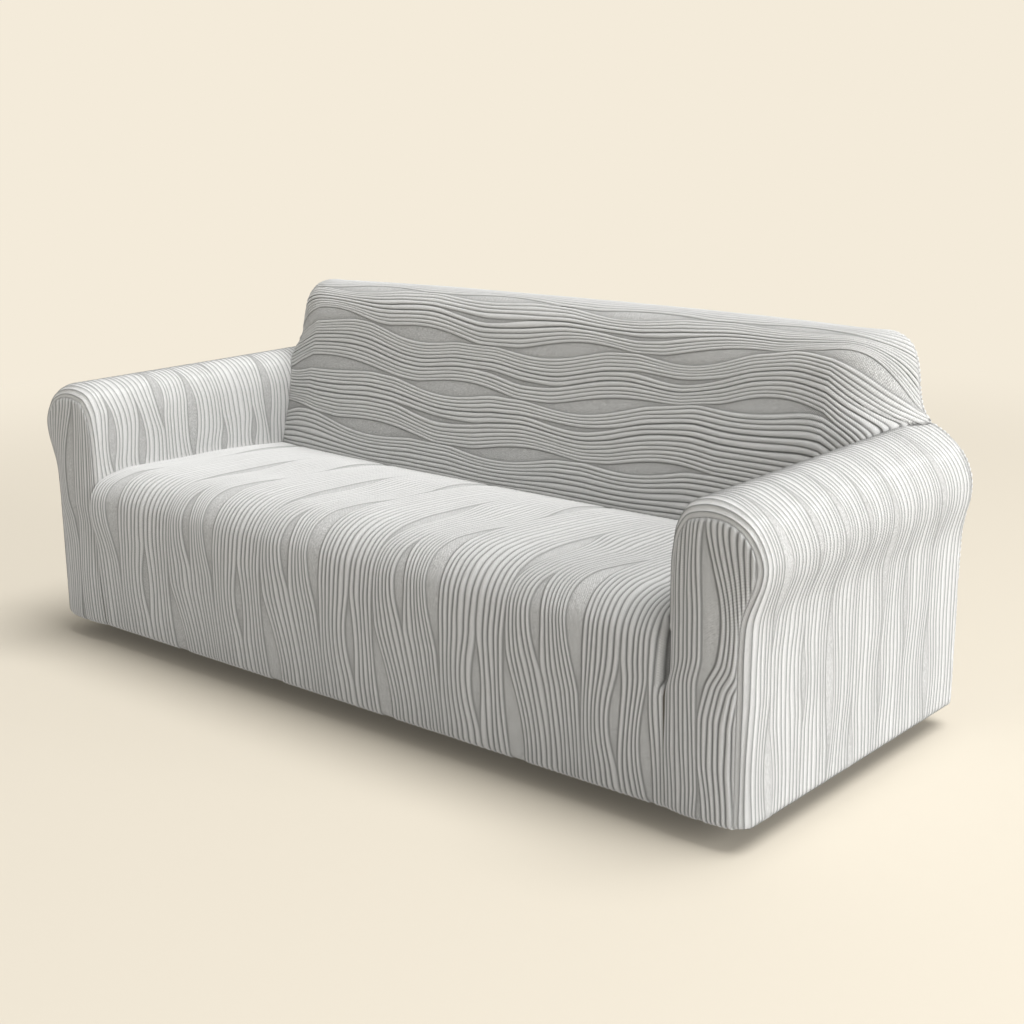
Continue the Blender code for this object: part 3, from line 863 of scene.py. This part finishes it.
# %% The seat and front
LEFT, RIGHT, EVEN = 0.2, 0.8, 0.5  # share of a flat's width beyond its row's line
SEAT_ROWS = [  # place across, flats: centre along, half length, width, share
    (-SEAT_HALF, []),
    (-0.790, [(0.11, 0.17, 0.035, LEFT), (0.66, 0.18, 0.045, LEFT)]),
    (-0.585, [(0.32, 0.17, 0.040, RIGHT), (0.93, 0.17, 0.042, RIGHT)]),
    (-0.420, [(0.10, 0.18, 0.038, LEFT), (0.60, 0.21, 0.048, LEFT)]),
    (-0.240, [(0.33, 0.19, 0.042, RIGHT), (0.90, 0.19, 0.045, RIGHT)]),
    (-0.055, [(0.11, 0.18, 0.040, LEFT), (0.61, 0.22, 0.048, LEFT)]),
    (0.125, [(0.39, 0.17, 0.040, RIGHT), (0.90, 0.19, 0.042, RIGHT)]),
    (0.310, [(0.12, 0.18, 0.040, LEFT), (0.63, 0.21, 0.045, LEFT)]),
    (0.500, [(0.41, 0.16, 0.042, RIGHT), (0.89, 0.20, 0.045, RIGHT)]),
    (0.685, [(0.12, 0.18, 0.040, LEFT), (0.63, 0.21, 0.048, LEFT)]),
    (0.850, [(0.38, 0.14, 0.024, LEFT), (0.90, 0.15, 0.028, LEFT)]),
    (SEAT_HALF, []),
]
SEAT_BUNDLES = [  # ribs, small flats: after which rib, centre along, half length, width
    (7, []),
    (13, [(6, 0.82, 0.10, 0.024)]),
    (12, [(5, 0.64, 0.11, 0.027)]),
    (13, [(6, 0.80, 0.10, 0.024)]),
    (12, [(5, 0.63, 0.11, 0.027)]),
    (12, [(6, 0.81, 0.11, 0.024)]),
    (13, [(5, 0.65, 0.11, 0.028)]),
    (12, [(6, 0.83, 0.11, 0.025)]),
    (13, [(5, 0.65, 0.11, 0.027)]),
    (12, [(6, 0.81, 0.12, 0.025)]),
    (3, []),
]
SEAT_END = SEAT_LENGTH + HEM_LENGTH
SEAT_STATIONS = steps(0.0, 3, 0.012, 70, SEAT_LENGTH - 0.015, 6, SEAT_END)
SIDE_START = -0.001  # so that a rib on the very edge still stands a little
# The slit's dark is painted shade
SHADE_START, SHADE_END = 0.003, 0.014  # distances from the seat's end between which the slit's dark fades


def lay(surface, stations, pattern, limits, side):
    """Points and details of one piece whose first measure runs along the ribs and second across them."""
    across, rise, tone = pattern
    first = np.broadcast_to(stations[:, None], across.shape)
    first_limits, second_limits = limits
    across = np.clip(across, *second_limits)
    end = np.minimum(first - first_limits[0], first_limits[1] - first)
    edge = np.minimum(across - second_limits[0], second_limits[1] - across)
    lift = RIB_HEIGHT * rise * ease(end, 0, SEAM_FADE) * ease(edge, SIDE_START, SIDE_FADE)
    tone = settled(tone, np.minimum(end, edge))
    points = surface(first, across)
    normal = outward(surface, first, across, first_limits, second_limits, side)
    return points + normal * lift[..., None], np.stack([first, across, tone], axis=-1)


seat_limits = ((0, SEAT_END), (-SEAT_HALF, SEAT_HALF))
seat_pattern = ribbing(SEAT_STATIONS, SEAT_ROWS, SEAT_BUNDLES)
seat_points, seat_details = lay(seat_surface, SEAT_STATIONS, seat_pattern, seat_limits, side=1)
# Painted shade in the slit: the seat's tone drops to its darkest grey beside the arm's front, where the slit
# is open
on_front = seat_details[..., 0] > SEAT_LENGTH / 2
painted_slit_shade = 1 - ease(SEAT_HALF - seat_details[..., 1], SHADE_START, SHADE_END)
seat_details[..., 2] *= 1 - slit_at(seat_points[..., 2]) * painted_slit_shade * on_front
sew("ribbed_seat_front", seat_points, seat_details, flip=True)

# %% [markdown]
# ## Sew the back
# On the back the knit lies on its side: its ribs run from arm to arm in long swells. Straight rows would look
# like a rolled blind, so each row here follows a line through a few points, lifted and dropped one by one.
# Towards the right end the lines climb and then fall, where the cloth is pulled down behind the arm.

# %% The back
LOW_LINE = [  # place along, distance up
    (-1.0, 0.12), (-0.7, 0.104), (-0.33, 0.082), (-0.06, 0.085), (0.35, 0.104), (0.55, 0.114), (0.75, 0.10),
    (1.0, 0.06),
]
MID_LINE = [
    (-1.0, 0.24), (-0.74, 0.246), (-0.45, 0.234), (-0.17, 0.224), (0.18, 0.229), (0.39, 0.254), (0.52, 0.272),
    (0.66, 0.284), (0.77, 0.280), (0.88, 0.258), (1.0, 0.228),
]
HIGH_LINE = [
    (-1.0, 0.36), (-0.79, 0.382), (-0.59, 0.373), (-0.22, 0.344), (0.0, 0.350), (0.25, 0.366), (0.50, 0.378),
    (0.645, 0.404), (0.76, 0.425), (0.84, 0.420), (0.92, 0.394), (1.0, 0.365),
]
TOP_LINE = [(-1.0, 0.470), (-0.18, 0.475), (0.27, 0.462), (0.72, 0.478), (1.0, 0.47)]
LOW_FLATS = [(-1.0, 0.20, 0.037, EVEN), (-0.52, 0.20, 0.041, EVEN), (-0.02, 0.18, 0.040, EVEN)]
LOW_FLATS += [(0.38, 0.15, 0.033, EVEN)]
MID_FLATS = [(-0.74, 0.25, 0.043, EVEN), (-0.25, 0.18, 0.044, EVEN), (0.21, 0.19, 0.040, EVEN)]
MID_FLATS += [(0.66, 0.15, 0.040, EVEN)]
HIGH_FLATS = [(-0.79, 0.19, 0.043, EVEN), (-0.39, 0.17, 0.044, EVEN), (0.08, 0.18, 0.041, EVEN)]
HIGH_FLATS += [(0.49, 0.16, 0.037, EVEN), (0.86, 0.13, 0.036, 0.6)]
TOP_FLATS = [(-0.63, 0.17, 0.033, EVEN), (-0.18, 0.17, 0.030, EVEN), (0.27, 0.17, 0.033, EVEN)]
TOP_FLATS += [(0.70, 0.15, 0.022, EVEN)]
BACK_ROWS = [
    (0.0, []),
    (LOW_LINE, LOW_FLATS),
    (MID_LINE, MID_FLATS),
    (HIGH_LINE, HIGH_FLATS),
    (TOP_LINE, TOP_FLATS),
    (BACK_LENGTH, []),
]
BACK_BUNDLES = [
    (8, []),
    (12, [(5, -0.3, 0.16, 0.012), (7, 0.15, 0.15, 0.010)]),
    (11, [(3, -0.05, 0.15, 0.010), (5, 0.42, 0.15, 0.012)]),
    (9, [(4, -0.2, 0.15, 0.010), (3, 0.3, 0.15, 0.008)]),
    (8, []),
]
BACK_STATIONS = steps(-BACK_REACH, 14, -SHOULDER, 106, SHOULDER, 18, BACK_REACH)

back_limits = ((-BACK_REACH, BACK_REACH), (0, BACK_LENGTH))
back_pattern = ribbing(BACK_STATIONS, BACK_ROWS, BACK_BUNDLES)
back_points, back_details = lay(back_surface, BACK_STATIONS, back_pattern, back_limits, side=1)
sew("ribbed_back", back_points, back_details, flip=False)

# %% [markdown]
# ## Sew the arms
# The ribs go round each arm like hoops, from the seat up, over and down to the hem. They are finer than on
# the seat, since the cloth is pulled tighter here, and stand a little lower. The two arms share one function
# but each has a table of its own, because a mirrored pattern gives itself away. Only the shape is mirrored.

# %% The arms
# The arm's flats get a lower tone than the seat's: more painted shade
ARM_RIB, ARM_FLAT_TONE = 0.75, 0.82  # height of its ribs and tone of its flats, beside the seat's
ARM_REACH = 2.0  # further back than any of the arm's cloth
ARM_ROWS = [
    (0.0, []),
    (0.088, [(0.10, 0.11, 0.030, EVEN), (0.47, 0.16, 0.034, EVEN), (0.90, 0.14, 0.034, EVEN)]),
    (0.205, [(0.19, 0.10, 0.024, EVEN), (0.43, 0.11, 0.022, EVEN), (0.73, 0.09, 0.018, EVEN)]),
    (0.305, [(0.12, 0.12, 0.028, EVEN), (0.43, 0.10, 0.024, EVEN), (0.76, 0.19, 0.034, EVEN)]),
    (0.400, [(0.03, 0.09, 0.020, EVEN), (0.44, 0.09, 0.018, EVEN), (0.95, 0.12, 0.022, EVEN)]),
    (0.510, [(0.05, 0.10, 0.018, EVEN), (0.54, 0.18, 0.030, EVEN), (0.82, 0.10, 0.016, EVEN)]),
    (0.610, [(0.15, 0.13, 0.030, EVEN), (0.68, 0.12, 0.020, EVEN)]),
    (0.720, [(0.44, 0.15, 0.026, EVEN), (0.86, 0.14, 0.030, EVEN)]),
    (0.870, []),
]
ARM_BUNDLES = [(7, []), (8, []), (7, []), (7, []), (8, []), (7, []), (8, []), (10, [])]
LEFT_ARM_ROWS = [
    (0.0, []),
    (0.066, [(0.10, 0.10, 0.026, EVEN), (0.42, 0.16, 0.030, EVEN), (0.84, 0.15, 0.030, EVEN)]),
    (0.155, [(0.06, 0.11, 0.026, EVEN), (0.60, 0.17, 0.030, EVEN)]),
    (0.232, [(0.20, 0.09, 0.030, EVEN), (0.44, 0.10, 0.018, EVEN), (0.86, 0.14, 0.026, EVEN)]),
    (0.325, [(0.12, 0.14, 0.034, EVEN), (0.62, 0.16, 0.028, EVEN)]),
    (0.425, [(0.03, 0.07, 0.020, EVEN), (0.36, 0.12, 0.026, EVEN), (0.84, 0.14, 0.028, EVEN)]),
    (0.530, [(0.05, 0.06, 0.018, EVEN), (0.60, 0.15, 0.026, EVEN)]),
    (0.590, [(0.16, 0.13, 0.030, EVEN), (0.40, 0.10, 0.018, EVEN), (0.90, 0.12, 0.022, EVEN)]),
    (0.720, [(0.50, 0.15, 0.028, EVEN), (0.74, 0.12, 0.018, EVEN)]),
    (0.870, []),
]
LEFT_ARM_BUNDLES = [(5, []), (6, []), (5, []), (7, []), (7, []), (7, []), (4, []), (9, []), (11, [])]
ARM_END = ARM_LENGTH + HEM_LENGTH
ARM_STATIONS = steps(0.0, 2, 0.008, 74, ARM_LENGTH - 0.015, 6, ARM_END)


def arm_lay(rows, bundles):
    """Points and details of an arm's panel, whose ribs run round the arm."""
    across, rise, tone = ribbing(ARM_STATIONS, rows, bundles, TIGHT_SIDE, ARM_FLAT_TONE)
    first = np.broadcast_to(ARM_STATIONS[:, None], across.shape)
    depth = arm_depth(first)
    across = np.clip(across, 0, depth)
    end = np.minimum(first, ARM_END - first)
    edge = np.minimum(across, depth - across)
    lift = ARM_RIB * RIB_HEIGHT * rise * ease(end, 0, SEAM_FADE) * ease(edge, 0, SIDE_FADE)
    tone = settled(tone, np.minimum(end, edge))
    normal = outward(arm_surface, first, across, (0, ARM_END), (0, ARM_REACH), -1)
    points = arm_surface(first, across) + normal * lift[..., None]
    return points, np.stack([first, across, tone], axis=-1)


arm_points, arm_details = arm_lay(ARM_ROWS, ARM_BUNDLES)
left_points, left_details = arm_lay(LEFT_ARM_ROWS, LEFT_ARM_BUNDLES)
sew("ribbed_arm_right", arm_points, arm_details, flip=True)
sew("ribbed_arm_left", left_points * (-1, 1, 1), left_details, flip=False)

# %% [markdown]
# ## Sew the arm fronts
# Each arm's front has one tall flat, straight on the seat's side and bellied on the other, with ribs running
# up beside it to the arch. Along the outer seam the cloth is gathered very slightly, by one sine wave. The
# right one's edge beside the slit is turned back, as a raw edge is, so no one looks in past it.

# %% The arm fronts
FRONT_ROWS = [
    (0.0, []),
    (0.080, [(0.355, 0.205, 0.033, 0.97), (-0.04, 0.12, 0.016, EVEN)]),
    (0.245, []),
]
FRONT_BUNDLES = [(8, []), (14, [])]
FRONT_TALL = 0.60
FRONT_STATIONS = steps(-HEM_LENGTH, 6, 0.0, 60, 1.0)
FRONT_RIB = 0.9  # height of its ribs, beside the seat's
FRONT_SIDE, FRONT_FADE, FRONT_TONE_FADE = 0.003, 0.006, 0.005  # head start of the ribs by the seat, two fades
GATHER, GATHER_LENGTH, GATHER_REACH = 0.0006, 0.028, 0.010
GATHER_RISE, GATHER_FALL = (0.30, 0.45), (0.85, 1.0)  # shares of the height over which gathers come and go
GATHER_SWAY, GATHER_TURN = 0.6, 19  # how unevenly they are spaced


def arm_front_lay():
    """Points and details of an arm's front. Its first measure is the share of the way up."""
    across, rise, tone = ribbing(FRONT_STATIONS * FRONT_TALL, FRONT_ROWS, FRONT_BUNDLES)
    first = np.broadcast_to(FRONT_STATIONS[:, None], across.shape)
    up = np.maximum(FRONT_STATIONS, 0)
    wide = np.linalg.norm(front_right_edge(up) - front_left_edge(up), axis=-1)[:, None]
    across = np.clip(across, 0, wide)
    share = across / wide
    end = np.minimum((1 - first) * FRONT_TALL, first + HEM_LENGTH)
    edge = np.minimum(across + FRONT_SIDE, wide - across)
    lift = FRONT_RIB * RIB_HEIGHT * rise * ease(end, 0, SEAM_FADE) * ease(edge, 0, FRONT_FADE)
    puckers = ease(first, *GATHER_RISE) * (1 - ease(first, *GATHER_FALL))
    puckers = puckers * np.exp(-(wide - across) / GATHER_REACH)
    sway = GATHER_SWAY * np.sin(GATHER_TURN * first)
    wave = np.sin(2 * math.pi * first * FRONT_TALL / GATHER_LENGTH + sway)
    lift = lift + GATHER * wave * puckers * ease(wide - across, 0, FRONT_FADE)
    tone = settled(tone, np.minimum(end, edge), FRONT_TONE_FADE)
    normal = outward(arm_front_surface, first, share, (-HEM_LENGTH, 1), (0, 1), -1)
    points = arm_front_surface(first, share) + normal * lift[..., None]
    return points, np.stack([first * FRONT_TALL, across, tone], axis=-1)


front_points, front_details = arm_front_lay()

# %% The edge turned back at the slit
RETURN_DEPTH, RETURN_CURL = 0.032, 0.25  # how far it goes back, and how far it curls aside by then
RETURN_TOP = (0.428, 0.446)  # heights over which it dies away
RETURN_STEPS = (1.0, 0.66, 0.33, 0.08)


def with_return(points, details):
    """The panel with its edge beside the slit turned back."""
    edge, detail = points[:, :1], details[:, :1]
    height = edge[..., 2:]
    back = RETURN_DEPTH * (1 - ease(height, *RETURN_TOP)) * (height > HEM_TOP)
    turned = [edge + back * np.array([RETURN_CURL * share**3, share, 0.0]) for share in RETURN_STEPS]
    details = np.concatenate([detail] * len(turned) + [details], axis=1)
    return np.concatenate([*turned, points], axis=1), details


right_points, right_details = with_return(front_points, front_details)
sew("ribbed_arm_front_right", right_points, right_details, flip=False)
sew("ribbed_arm_front_left", front_points * (-1, 1, 1), front_details, flip=True)

# %% [markdown]
# ## Sew the outer back
# The rear of the cover is the plainest panel, so its pattern is a loop: five even rows of flats, every second
# one shifted along. The ribs run across, as on the inside back. Its hem has no ribs, so the hem's columns are
# put in front of the pattern's. Its first measure runs from -1 to 1 across the rear.

# %% The outer back
REAR_HEIGHT, REAR_HALF = 0.85, 1.06  # height and half length of the pattern
REAR_RIB = 0.0026  # these ribs are stretched lower
FIRST_ROW, ROW_GAP = 0.085, 0.155
FIRST_FLAT, FLAT_GAP, FLAT_SHIFT = -0.95, 0.45, 0.21
REAR_FLAT = (0.21, 0.036, 0.4)  # half length, width, share
REAR_ROWS = [(0.0, [])]
for row in range(5):
    start = FIRST_FLAT + FLAT_SHIFT * (row % 2)
    REAR_ROWS.append((FIRST_ROW + ROW_GAP * row, [(start + FLAT_GAP * n, *REAR_FLAT) for n in range(5)]))
REAR_ROWS.append((REAR_HEIGHT, []))
REAR_BUNDLES = [(7, [])] + [(13, [])] * 4 + [(12, [])]
REAR_STATIONS = steps(-1.0, 4, -0.95, 112, 0.95, 4, 1.0)
END_HALF = 1.05  # half length of the panel, for measuring from its ends
HEM_COLUMNS, HEM_TONE = 6, 0.7


def rear_lay():
    """Points and details of the outer back. Its second measure is the share of the way up."""
    across, rise, tone = ribbing(REAR_STATIONS * REAR_HALF, REAR_ROWS, REAR_BUNDLES)
    hem = np.linspace(-HEM_LENGTH, 0, HEM_COLUMNS, endpoint=False)
    column = np.broadcast_to(REAR_STATIONS[:, None], (len(REAR_STATIONS), HEM_COLUMNS))
    across = np.concatenate([np.broadcast_to(hem, column.shape), across / REAR_HEIGHT], axis=1)
    rise = np.concatenate([0 * column, rise], axis=1)
    tone = np.concatenate([0 * column + HEM_TONE, tone], axis=1)
    first = np.broadcast_to(REAR_STATIONS[:, None], across.shape)
    end = (1 - np.abs(first)) * END_HALF
    edge = np.minimum(across + HEM_LENGTH, (1 - across) * REAR_HEIGHT)
    lift = REAR_RIB * rise * ease(end, 0, SEAM_FADE) * ease(edge, 0, SEAM_FADE)
    tone = settled(tone, np.minimum(end, edge))
    points = outer_back_surface(first, across)
    normal = outward(outer_back_surface, first, across, (-1, 1), (-HEM_LENGTH, 1), -1)
    return points + normal * lift[..., None], np.stack([first, across, tone], axis=-1)


rear_points, rear_details = rear_lay()
sew("ribbed_outer_back", rear_points, rear_details, flip=False)

# %% [markdown]
# ## Each piece in the place of its solid
# Each cloth piece takes the place of one smooth solid and rides on the one body there is, since a cover has
# no joints. Its flat size is what the panel measures before it is stretched over the sofa: the length round
# the solid with its hem, less a little for the stretch. Stretch and ribs add an eighth to a quarter to it.

STANDS_FOR = {  # node, flat size, flat area
    "ribbed_seat_front": ("seat_front_panel", (2.20, 1.02), 1.80),
    "ribbed_back": ("back_panel", (2.10, 0.58), 1.02),
    "ribbed_arm_right": ("arm_panel_right", (1.01, 0.86), 0.79),
    "ribbed_arm_left": ("arm_panel_left", (1.01, 0.86), 0.79),
    "ribbed_arm_front_right": ("arm_front_right", (0.21, 0.65), 0.095),
    "ribbed_arm_front_left": ("arm_front_left", (0.21, 0.65), 0.095),
    "ribbed_outer_back": ("outer_back_panel", (2.20, 0.87), 1.78),
}
for name, (node, flat, area) in STANDS_FOR.items():
    piece = pieces[name]
    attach(piece, "root")
    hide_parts(node)
